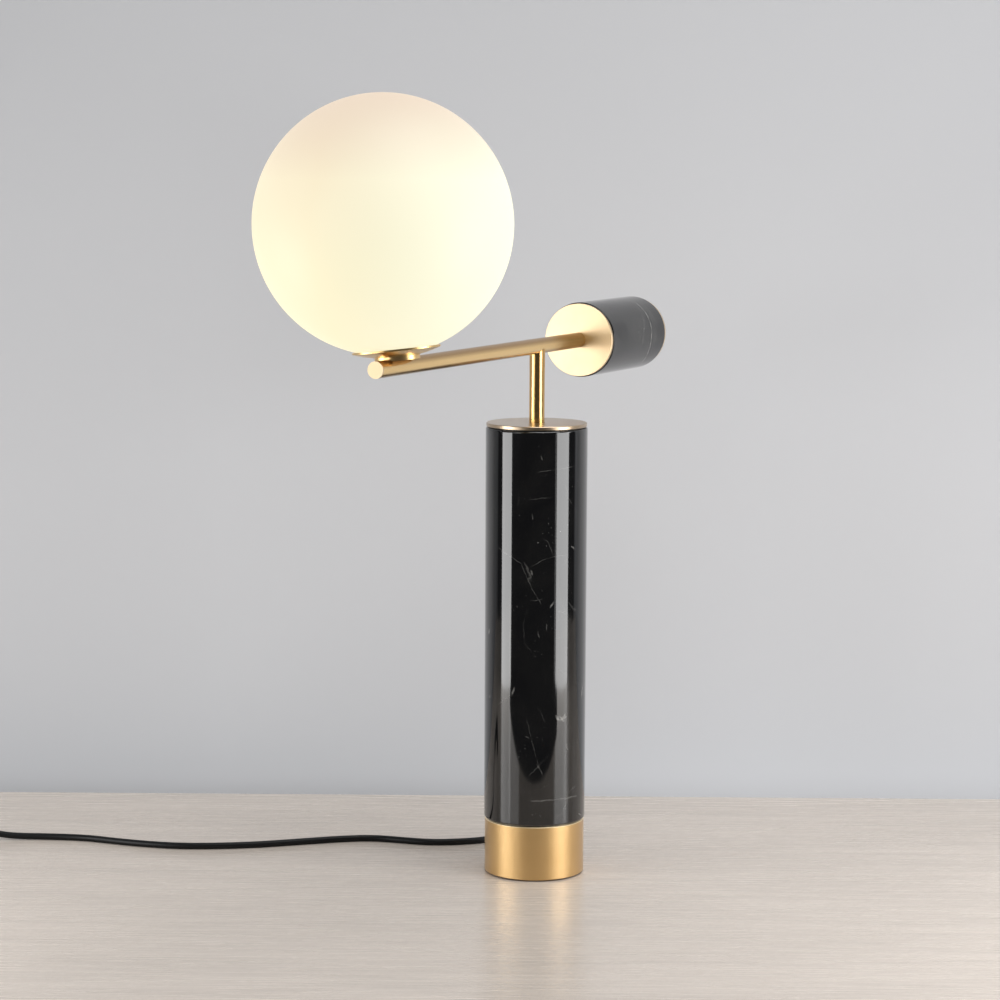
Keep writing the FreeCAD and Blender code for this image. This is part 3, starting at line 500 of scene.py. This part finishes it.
def opal(name):
    """Etched opal glass lit from inside: warm below, dimmer and pinker on top, and paler towards -Y, a
    painted highlight from the lamps on that side.
    """
    n = Nodes(name)
    x, y, z = n.split()
    rise = n.clamp_range(z, GLOBE_CENTRE.z - 0.3 * GLOBE_R, GLOBE_CENTRE.z + GLOBE_R)
    glow = n.mix(rise, GLOW_LOW, GLOW_HIGH)
    mist = n.clamp_range(n.noise(14.0, 2.0, 0.5), 0.35, 0.65, 0.0, 0.10)
    glow = n.mix(mist, glow, GLOW_MIST)
    # painted highlight: paler towards -Y, where the lamps light the globe from outside
    side = n.clamp_range(y, 0.02, GLOBE_CENTRE.y - GLOBE_R, 0.0, 1.0)
    glow = n.mix(side, glow, GLOW_PAINTED_HIGHLIGHT)
    crown = n.clamp_range(z, GLOBE_CENTRE.z + 0.35 * GLOBE_R, GLOBE_CENTRE.z + GLOBE_R)
    glow = n.mix(crown, glow, GLOW_CROWN)
    n.set(Base_Color=(0.20, 0.195, 0.18, 1), IOR=1.45, Specular_IOR_Level=0.25)
    n.set(Roughness=n.maths("MULTIPLY_ADD", n.noise(500.0, 2.0, 0.6), 0.10, 0.45))
    n.set(Emission_Color=glow, Emission_Strength=1.0)
    return n.material


# painted light: the base has a painted highlight along its rim, and the arm has painted shade along its
# underside and its top, with a painted highlight along its middle
BASE_RIM_PAINTED_HIGHLIGHT = [(BASE_TOP - 1.1 * MM, BASE_TOP - 0.7 * MM, (1.0, 0.82, 0.52))]
# the arm: a painted highlight along its middle, then painted shade along its top
ARM_PAINTED_LIGHT_BANDS = [
    (ARM_HEIGHT - 5.6 * MM, ARM_HEIGHT - 2.4 * MM, (1.0, 0.70, 0.32)),
    (ARM_HEIGHT + 0.9 * MM, ARM_HEIGHT + 3.9 * MM, (0.50, 0.31, 0.13)),
]
# the base: satin brass with a painted highlight along its top rim
SATIN = brass("satin_brass_turned", 0.44, "turned", depth=0.08, coat=1.0, lacquer=0.32,
              colour=(0.66, 0.43, 0.175), painted_light_bands=BASE_RIM_PAINTED_HIGHLIGHT)
STEM_BRASS = brass("tube_brass_upright", 0.19, "turned", depth=0.05, coat=0.05,
                   colour=(0.72, 0.46, 0.175))
# the arm's dark own colour is painted shade along its underside, under the painted light bands
ARM_BRASS_PAINTED_SHADE = brass("tube_brass", 0.25, "drawn", depth=0.02, coat=0.08,
             colour=(0.26, 0.145, 0.045), painted_light_bands=ARM_PAINTED_LIGHT_BANDS)
FITTINGS = brass("fitting_brass", 0.31, "turned", depth=0.05, coat=0.3)
FACED = brass("faced_brass", 0.31, "faced", depth=0.03, coat=0.6, lacquer=0.26,
              colour=(0.52, 0.395, 0.27))
# the discs and the arm's end: brass made paler than the rest, a painted highlight for the strong light that
# falls on them
DISC_BRASS_PAINTED_HIGHLIGHT = brass("disc_brass_painted_highlight", 0.40, "faced", depth=0.03, coat=1.0, lacquer=0.36,
                   colour=(0.78, 0.60, 0.37))
BLACKS = ((0.0016, 0.0016, 0.0020), (0.0060, 0.0058, 0.0055))
GREYS = ((0.009, 0.009, 0.010), (0.042, 0.042, 0.041))
COLUMN_STONE = stone("column_stone", COLUMN_MARKS, unrolled_column, column_spot, BLACKS, 1.6, 0.35)
WEIGHT_STONE = stone("weight_stone", WEIGHT_MARKS, unrolled_weight, weight_spot, GREYS, 1.5, 0.0)
OPAL = opal("opal_glass")
RUBBER = plain("black_rubber", (0.008, 0.008, 0.009), 0.45)
FELT = plain("felt", (0.020, 0.020, 0.022), 0.95, 900.0, depth=0.0002)
STEEL = plain("steel", (0.42, 0.42, 0.43), 0.35, 300.0, metallic=1.0)
IRON = plain("iron", (0.06, 0.06, 0.065), 0.6, 200.0)
BLACK_PLASTIC = plain("black_plastic", (0.014, 0.014, 0.015), 0.38)
WHITE_PLASTIC = plain("white_plastic", (0.72, 0.71, 0.68), 0.4)
CERAMIC = plain("ivory_ceramic", (0.74, 0.70, 0.60), 0.3)
SHEATH = plain("lead_sheath", (0.60, 0.60, 0.58), 0.4)
PIN_METAL = plain("pin_metal", (0.62, 0.60, 0.56), 0.25, 300.0, metallic=1.0)
NYLON = plain("nylon", (0.65, 0.64, 0.60), 0.45)
BULB_GLASS = plain("bulb_glass", (0.80, 0.79, 0.75), 0.35)
ROCKER_PLASTIC = plain("rocker_plastic", (0.03, 0.03, 0.032), 0.3)
CORD_COVER = plain("cord_cover", (0.0045, 0.0045, 0.005), 0.42, 900.0, gloss=0.22)

# every solid of the frame, by finish: the record's slot, the material, the nodes
FINISHES = [
    ("dark_stone", COLUMN_STONE, ["column"]),
    ("grey_stone", WEIGHT_STONE, ["weight_stone"]),
    ("satin_brass", SATIN, ["base_shell"]),
    ("tube_brass", STEM_BRASS, ["stem"]),
    ("polished_brass", FACED, ["top_cap"]),
    ("polished_brass", DISC_BRASS_PAINTED_HIGHLIGHT, ["arm_end_cap", "weight_front_disc", "weight_rear_disc"]),
    ("tube_brass", ARM_BRASS_PAINTED_SHADE, ["arm"]),
    ("tube_brass", FITTINGS, ["hub", "saucer", "collar"]),
    ("opal_glass", OPAL, ["globe", "globe_lower", "globe_neck"]),
    ("opal_glass", BULB_GLASS, ["bulb_dome"]),
    ("white_plastic", WHITE_PLASTIC, ["bulb_body"]),
    ("pin_metal", PIN_METAL, [
        "bulb_cap", "bulb_tip", "holder_screw_shell", "holder_contact", "plug_pin_1", "plug_pin_2",
    ]),
    ("black_plastic", BLACK_PLASTIC, [
        "bulb_insulator", "switch_base", "switch_cover", "plug_body",
    ]),
    ("black_plastic", ROCKER_PLASTIC, ["switch_rocker"]),
    ("ivory_ceramic", CERAMIC, ["holder_base", "holder_body"]),
    ("black_rubber", RUBBER, [
        "base_gasket", "cap_gasket", "weight_front_gasket", "weight_rear_gasket",
        "cord_bush", "switch_relief_in", "switch_relief_out", "plug_relief", "entry_cord",
    ]),
    ("black_rubber", CORD_COVER, ["cord_tube", "cord_coil"]),
    ("felt", FELT, ["foot_pad"]),
    ("steel", STEEL, [
        "base_plate", "tie_rod", "tie_washer", "tie_nut", "clamp_screw_1", "clamp_screw_2",
        "rocker_pin", "lock_bush", "nipple", "gallery_nut", "spring_clips",
    ]),
    ("iron", IRON, ["ballast"]),
    ("nylon", NYLON, ["cord_clamp", "terminal_block", "friction_washer", "globe_gasket"]),
    ("lead_sheath", SHEATH, ["arm_lead", "column_lead"]),
]


def dress_nodes():
    """Give every solid of the frame its material."""
    for slot, material, names in FINISHES:
        for name in names:
            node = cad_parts[name]
            node.data.materials.clear()
            node.data.materials.append(material)


dress_nodes()
table_cord.data.materials.append(CORD_COVER)
wound_cord.data.materials.append(CORD_COVER)
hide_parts("cord_tube")
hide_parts("cord_coil")


# ---- pieces turned from a profile ----

def skin(name, rings, material, body, crease=None):
    """A closed surface over rings of points, in their order. Edges past the crease angle stay
    sharp. Without an angle, all but the two end faces are smooth."""
    work = bmesh.new()
    loops = [[work.verts.new(point) for point in ring] for ring in rings]
    steps = max(len(loop) for loop in loops)
    for low, high in zip(loops, loops[1:]):
        for step in range(steps):
            after = (step + 1) % steps
            corners = [low[step % len(low)], low[after % len(low)],
                       high[after % len(high)], high[step % len(high)]]
            corners = [corner for index, corner in enumerate(corners) if corner not in corners[:index]]
            work.faces.new(corners)
    for end in (loops[0], loops[-1]):
        if len(end) > 1:
            work.faces.new(end)
    bmesh.ops.recalc_face_normals(work, faces=work.faces)
    for face in work.faces:
        face.smooth = crease is not None or len(face.verts) == 4
    mesh = bpy.data.meshes.new(name)
    work.to_mesh(mesh)
    work.free()
    if crease is not None:
        mesh.set_sharp_from_angle(angle=math.radians(crease))
    mesh.materials.append(material)
    piece = add_object(name, mesh)
    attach(piece, body)
    return piece


def turned(name, profile, foot, axis, material, body, steps=96, crease=40.0):
    """A closed surface round an axis, from (radius, place along the axis) pairs, in metres."""
    axis = Vector(axis).normalized()
    side = axis.orthogonal().normalized()
    other = axis.cross(side)
    turns = [2 * math.pi * step / steps for step in range(steps)]
    spokes = [side * math.cos(turn) + other * math.sin(turn) for turn in turns]
    rings = []
    for radius, along in profile:
        middle = Vector(foot) + axis * along
        on_axis = radius < 1e-6
        rings.append([middle] if on_axis else [middle + radius * spoke for spoke in spokes])
    return skin(name, rings, material, body, crease)


def arc(radius, height, start, end, steps):
    """Points of a circle centred on the axis, from one angle to another, up from level."""
    points = []
    for step in range(steps + 1):
        angle = math.radians(start + (end - start) * step / steps)
        points.append((max(0.0, radius * math.cos(angle)), height + radius * math.sin(angle)))
    return points


# the globe's ground mouth: each edge as (distance outside the hole's radius, height cut back),
# and the bore's own distance outside that radius
MOUTH_LOW_EDGE = (0.6 * MM, 0.5 * MM)
MOUTH_HIGH_EDGE = (0.5 * MM, 0.6 * MM)
MOUTH_BORE = 0.1 * MM
GLASS_ARC_STEPS = 90


def glass_profile():
    """The blown glass: outside from the top down to a ground and polished mouth, and back inside."""
    inside_r = GLOBE_R - GLOBE_WALL
    mouth_out = -math.degrees(math.acos((GLOBE_HOLE_R + MOUTH_LOW_EDGE[0]) / GLOBE_R))
    mouth_in = -math.degrees(math.acos((GLOBE_HOLE_R + MOUTH_HIGH_EDGE[0]) / inside_r))
    outside = arc(GLOBE_R, GLOBE_HEIGHT, 90, mouth_out, GLASS_ARC_STEPS)
    inside = arc(inside_r, GLOBE_HEIGHT, mouth_in, 90, GLASS_ARC_STEPS)
    bore = GLOBE_HOLE_R + MOUTH_BORE
    low, high = outside[-1][1] + MOUTH_LOW_EDGE[1], inside[0][1] - MOUTH_HIGH_EDGE[1]
    return outside + [(bore, low), (bore, high)] + inside


# The bulb, in millimetres. Heights are measured from the arm's axis, along the globe's own.
# The neck's points are (radius, height).
BULB_NECK = [Vector((12.9, 54.0)), Vector((13.3, 61.5)), Vector((17.5, 68.6)), Vector((20.16, 74.0))]
BULB_DOME_R = 22.5
BULB_DOME_HEIGHT = 84.0
BULB_CAP_R = 13.25
BULB_CAP_LOW = 31.0
BULB_CAP_HIGH = 54.0
BULB_CAP_LEVELS = 92
BULB_CAP_STEPS = 72
THREAD_PITCH = 3.6
THREAD_DEPTH = 0.85
THREAD_FADE = 1.8
PLAIN_BAND = 4.0
LIP_HEIGHT = 0.5
LIP_DEPTH = 0.9


def bulb_profile():
    """A bulb's glass, from its cap: a neck that swells in a smooth curve into the dome."""
    points = [(0.0, BULB_NECK[0].y * MM)]
    steps = 16
    for step in range(steps + 1):
        t = step / steps
        shares = ((1 - t) ** 3, 3 * t * (1 - t) ** 2, 3 * t * t * (1 - t), t ** 3)
        radius = sum(share * point.x for share, point in zip(shares, BULB_NECK))
        height = sum(share * point.y for share, point in zip(shares, BULB_NECK))
        points.append((radius * MM, height * MM))
    start = math.degrees(math.asin((BULB_NECK[-1].y - BULB_DOME_HEIGHT) / BULB_DOME_R))
    return points + arc(BULB_DOME_R * MM, BULB_DOME_HEIGHT * MM, start, 90, 40)[1:]


def threaded_cap(name, material, body):
    """The bulb's screw cap: a shell rolled into a round thread, with a plain band above it."""
    side = GLOBE_AXIS.orthogonal().normalized()
    other = GLOBE_AXIS.cross(side)
    rings = []
    for index in range(BULB_CAP_LEVELS + 1):
        height = BULB_CAP_LOW + (BULB_CAP_HIGH - BULB_CAP_LOW) * index / BULB_CAP_LEVELS
        rise = height - BULB_CAP_LOW
        fade_in = min(1.0, max(0.0, rise / THREAD_FADE))
        fade_out = min(1.0, max(0.0, (BULB_CAP_HIGH - PLAIN_BAND - height) / THREAD_FADE))
        lip = LIP_DEPTH if rise < LIP_HEIGHT else 0.0
        ring = []
        for step in range(BULB_CAP_STEPS):
            turn = 2 * math.pi * step / BULB_CAP_STEPS
            wave = 0.5 - 0.5 * math.cos(2 * math.pi * (height / THREAD_PITCH) - turn)
            radius = (BULB_CAP_R - THREAD_DEPTH * (fade_in * fade_out) * wave - lip) * MM
            spoke = side * math.cos(turn) + other * math.sin(turn)
            ring.append(GLOBE_FOOT + GLOBE_AXIS * (height * MM) + spoke * radius)
        rings.append(ring)
    return skin(name, rings, material, body)


# a sleeve's ribs: (share of a rib's length, depth of the groove there in mm)
RIB_SHAPE = ((0.06, 0.0), (0.56, 0.0), (0.66, 0.55), (0.76, 0.8), (0.86, 0.8), (0.96, 0.45))
RIBS = 6
RELIEF_THICK_R = 5.4
RELIEF_THIN_R = 3.6
# the grooves lose this share of their depth towards the thin end, which is plain and rounded
GROOVE_LOSS = 0.35
PLAIN_END_SHARE = 0.04
PLAIN_END_R = 3.5
PLAIN_END_TIP_R = 3.1
# the bush in the base's wall, in mm: (radius, distance from the base's axis)
BUSH = ((5.85, 31.75), (5.85, 33.5), (5.4, 33.7))
BUSH_SLEEVE = (41.0, 63.0)


def relief_profile(thick_at, thin_at, lead=()):
    """A tapered rubber sleeve with rounded ribs, from its thick end to its thin end, in mm."""
    points = [(0.0, thick_at if not lead else lead[0][1]), *lead]
    length = thin_at - thick_at
    for rib in range(RIBS):
        for share, dip in RIB_SHAPE:
            at = (rib + share) / RIBS
            radius = RELIEF_THICK_R + (RELIEF_THIN_R - RELIEF_THICK_R) * at
            points.append((radius - dip * (1 - GROOVE_LOSS * at), thick_at + length * at))
    points += [(PLAIN_END_R, thin_at - PLAIN_END_SHARE * length), (PLAIN_END_TIP_R, thin_at), (0.0, thin_at)]
    return [(radius * MM, along * MM) for radius, along in points]


def sleeve(name, foot, way, profile):
    """A rubber sleeve on the cord, at a place in metres, thinning along a direction."""
    return turned(name, profile, foot, way, RUBBER, "stand", 48)


globe_glass = turned("globe_glass", glass_profile(), GLOBE_FOOT, GLOBE_AXIS,
                     OPAL, "globe", 160)
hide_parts("globe", "globe_lower", "globe_neck")
bulb_glass = turned("bulb_glass", bulb_profile(), GLOBE_FOOT, GLOBE_AXIS,
                    BULB_GLASS, "bulb")
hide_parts("bulb_dome", "bulb_body")
bulb_thread = threaded_cap("bulb_thread", PIN_METAL, "bulb")
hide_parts("bulb_cap")

switch_way = heading_vector(CORD_HEADING)
short_relief = relief_profile(0.0, RELIEF_LENGTH)
entry_sleeve = sleeve("entry_sleeve", (0, 0, CORD_EXIT[2]), (1, 0, 0), relief_profile(*BUSH_SLEEVE, BUSH))
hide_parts("cord_bush")
sleeve_in = sleeve("sleeve_in", switch_place(RELIEF_LENGTH) * MM, -switch_way, short_relief)
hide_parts("switch_relief_in")
sleeve_out = sleeve("sleeve_out", switch_place(SWITCH_END - RELIEF_LENGTH) * MM, switch_way, short_relief)
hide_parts("switch_relief_out")
coil_end = coil_points()[-2]
sleeve_plug = sleeve("sleeve_plug", (coil_end - switch_way * RELIEF_LENGTH) * MM, switch_way, short_relief)
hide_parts("plug_relief")


# ---- floor, wall and light ----

FLOOR_COLOUR = rgb(203, 193, 183)
WALL_COLOUR = rgb(199, 200, 203)
WALL_WAY = Vector((0.409, -0.9125, 0.0)).normalized()
WALL_OUT = Vector((WALL_WAY.y, -WALL_WAY.x, 0))
TABLE_BACK = WALL_OUT * -0.266
# the wall stands off the table's back edge, so that the globe clears it as the arm turns
WALL_GAP = 0.104
WALL_HALF = 6.0
WALL_LOW = -1.2
WALL_HIGH = 2.6
# The board's outline: (along the wall, out from its back edge). The bay in its front lies out of
# the picture, and keeps the table's reflection out of the middle of the column.
TABLE_OUTLINE = [(-1.3, 0.0), (1.3, 0.0), (1.3, 1.36), (0.477, 0.667), (-0.64, 0.667), (-1.3, 1.08)]
TABLE_THICK = 0.03
TABLE_EDGE = 0.004
# the edges further than this from its back edge are rounded
TABLE_FRONT = 0.5


def floor_material():
    """Pale wood with fine grain along the wall, under a satin coat."""
    n = Nodes("table_wood")
    turn = n.add("ShaderNodeMapping", Vector=n.place)
    turn.inputs["Rotation"].default_value = (0, 0, -math.atan2(WALL_WAY.y, WALL_WAY.x))
    grain = turn.outputs[0]
    figure = n.noise(1.0, 4.0, 0.6, 1.0, n.stretch(4.0, 45.0, 1.0, grain))
    lines = n.noise(1.0, 4.0, 0.65, 0.6, n.stretch(14.0, 320.0, 1.0, grain))
    pores = n.noise(1.0, 2.0, 0.6, 0.3, n.stretch(60.0, 1500.0, 1.0, grain))
    dark, light = shaded(FLOOR_COLOUR, 0.94), shaded(FLOOR_COLOUR, 1.04)
    base = n.mix(n.clamp_range(figure, 0.38, 0.64), dark, light)
    base = n.mix(n.clamp_range(lines, 0.40, 0.70, 0.0, 0.42), base, shaded(FLOOR_COLOUR, 1.16))
    base = n.mix(n.clamp_range(pores, 0.60, 0.80, 0.0, 0.22), base, shaded(FLOOR_COLOUR, 0.72))
    n.set(Base_Color=base, Roughness=n.maths("MULTIPLY_ADD", lines, 0.25, 0.13), IOR=1.45)
    n.bump(n.maths("ADD", n.maths("MULTIPLY", figure, 0.3), lines), 0.35, 0.0006)
    return n.material


def wall_material():
    """Paint, seen from in front. From behind, the wall is clear, so that it hides nothing."""
    n = Nodes("wall_paint")
    n.set(Base_Color=(*WALL_COLOUR, 1), Roughness=0.85)
    side = n.add("ShaderNodeNewGeometry")
    clear = n.add("ShaderNodeBsdfTransparent")
    mix = n.add("ShaderNodeMixShader", i0=side.outputs["Backfacing"], i1=n.shader.outputs[0],
                i2=clear.outputs[0])
    n.put(n.tree.nodes["Material Output"], "Surface", mix.outputs[0])
    return n.material


def table_top(material):
    """The board that the lamp stands on, its back edge along the wall."""
    work = bmesh.new()
    corners = [TABLE_BACK + WALL_WAY * along + WALL_OUT * deep for along, deep in TABLE_OUTLINE]
    slab = work.faces.new([work.verts.new(corner) for corner in corners])
    made = bmesh.ops.extrude_face_region(work, geom=[slab])["geom"]
    low = [part for part in made if isinstance(part, bmesh.types.BMVert)]
    bmesh.ops.translate(work, verts=low, vec=(0, 0, -TABLE_THICK))
    front = {corner for corner in work.verts if (corner.co - TABLE_BACK).dot(WALL_OUT) > TABLE_FRONT}
    rims = [edge for edge in work.edges if front.issuperset(edge.verts)]
    bmesh.ops.bevel(work, geom=rims, offset=TABLE_EDGE, segments=4, affect="EDGES", profile=0.5)
    bmesh.ops.recalc_face_normals(work, faces=work.faces)
    mesh = bpy.data.meshes.new("table_top")
    work.to_mesh(mesh)
    work.free()
    mesh.materials.append(material)
    add_object("table_top", mesh)


def wall(material):
    """A flat wall behind the table, which reaches below the table's top."""
    middle = TABLE_BACK - WALL_OUT * WALL_GAP
    left, right = middle - WALL_WAY * WALL_HALF, middle + WALL_WAY * WALL_HALF
    low, high = Vector((0, 0, WALL_LOW)), Vector((0, 0, WALL_HIGH))
    corners = [left + low, right + low, right + high, left + high]
    mesh = bpy.data.meshes.new("wall")
    mesh.from_pydata([tuple(corner) for corner in corners], [], [(0, 1, 2, 3)])
    mesh.materials.append(material)
    add_object("wall", mesh)


def area_light(name, place, target, width, height, power):
    data = bpy.data.lights.new(name, "AREA")
    data.shape = "RECTANGLE"
    data.size = width
    data.size_y = height
    data.energy = power
    light = add_object(name, data)
    light.location = place
    way = Vector(target) - Vector(place)
    light.rotation_euler = way.to_track_quat("-Z", "Y").to_euler()
    light.visible_camera = False


def polar(angle, distance, height):
    """A place round the column, its angle in degrees from +X towards +Y."""
    return (distance * math.cos(math.radians(angle)), distance * math.sin(math.radians(angle)), height)


# softboxes round the column: (angle in degrees, distance, width, height)
LEFT_BOX = (135.6, 0.85, 0.38, 0.47)
RIGHT_BOX = (265.0, 0.85, 0.46, 0.60)
EDGE_STRIP = (247.5, 0.9, 0.022, 0.50)
DISC_BOX = (156.0, 2.6, 1.15, 0.80)
DISC_BOX_BOTTOM = 0.19
BOX_RADIANCE = 5.2
EDGE_RADIANCE = 1.6
DISC_RADIANCE = 3.3
TOP_PLACE = (-0.3, -0.65, 2.2)
TOP_TARGET = (0.2, 0.0, 0.3)
TOP_SIZE = 1.6
TOP_POWER = 29.0
# The far boxes stand at the first angle and face the second, to light the wall and the table.
# Their place and their aim are (distance, height).
FAR_PLACE = (2.3, 0.7)
FAR_AIM = (2.2, 0.3)
FAR_SIZE = (1.2, 0.9)
FAR_LEFT = (124.0, 106.0)
FAR_RIGHT = (284.0, 302.0)
FAR_LEFT_POWER = 6.0
FAR_RIGHT_POWER = 14.5
WASH_LENGTH = 1.3
WASH_HEIGHT = 0.06
WASH_INSET = 0.01
WASH_DROP = 0.07
WASH_LEFT_RADIANCE = 0.45
WASH_RIGHT_RADIANCE = 1.45
WORLD_COLOUR = (0.572, 0.580, 0.596, 1)
WORLD_STRENGTH = 0.12


def soft_box(name, direction, distance, width, height, radiance, bottom=0.0):
    """A standing softbox that faces the column."""
    middle = bottom + height / 2
    power = radiance * math.pi * width * height
    place = polar(direction, distance, middle)
    area_light(name, place, (0, 0, middle), width, height, power)


def far_box(name, angles, power):
    stand, face = angles
    area_light(name, polar(stand, *FAR_PLACE), polar(face, *FAR_AIM), *FAR_SIZE, power)


def wash_strip(name, along, radiance):
    """A strip hidden under the table's back edge, which lights only the foot of the wall."""
    place = TABLE_BACK + WALL_WAY * along + WALL_OUT * WASH_INSET + Vector((0, 0, -WASH_DROP))
    power = radiance * math.pi * WASH_LENGTH * WASH_HEIGHT
    area_light(name, place, place - WALL_OUT, WASH_LENGTH, WASH_HEIGHT, power)


def make_lights():
    soft_box("left_box", *LEFT_BOX, BOX_RADIANCE)
    soft_box("right_box", *RIGHT_BOX, BOX_RADIANCE)
    soft_box("edge_strip", *EDGE_STRIP, EDGE_RADIANCE)
    soft_box("disc_box", *DISC_BOX, DISC_RADIANCE, DISC_BOX_BOTTOM)
    area_light("top_box", TOP_PLACE, TOP_TARGET, TOP_SIZE, TOP_SIZE, TOP_POWER)
    far_box("far_left", FAR_LEFT, FAR_LEFT_POWER)
    far_box("far_right", FAR_RIGHT, FAR_RIGHT_POWER)
    wash_strip("wash_left", -WASH_LENGTH / 2, WASH_LEFT_RADIANCE)
    wash_strip("wash_right", WASH_LENGTH / 2, WASH_RIGHT_RADIANCE)


def make_world():
    """A dim, even grey."""
    world = bpy.data.worlds.new("studio")
    bpy.context.scene.world = world
    world.use_nodes = True
    background = world.node_tree.nodes["Background"]
    background.inputs["Color"].default_value = WORLD_COLOUR
    background.inputs["Strength"].default_value = WORLD_STRENGTH


table_top(floor_material())
wall(wall_material())
make_lights()
make_world()
bpy.context.scene.view_settings.view_transform = "Standard"
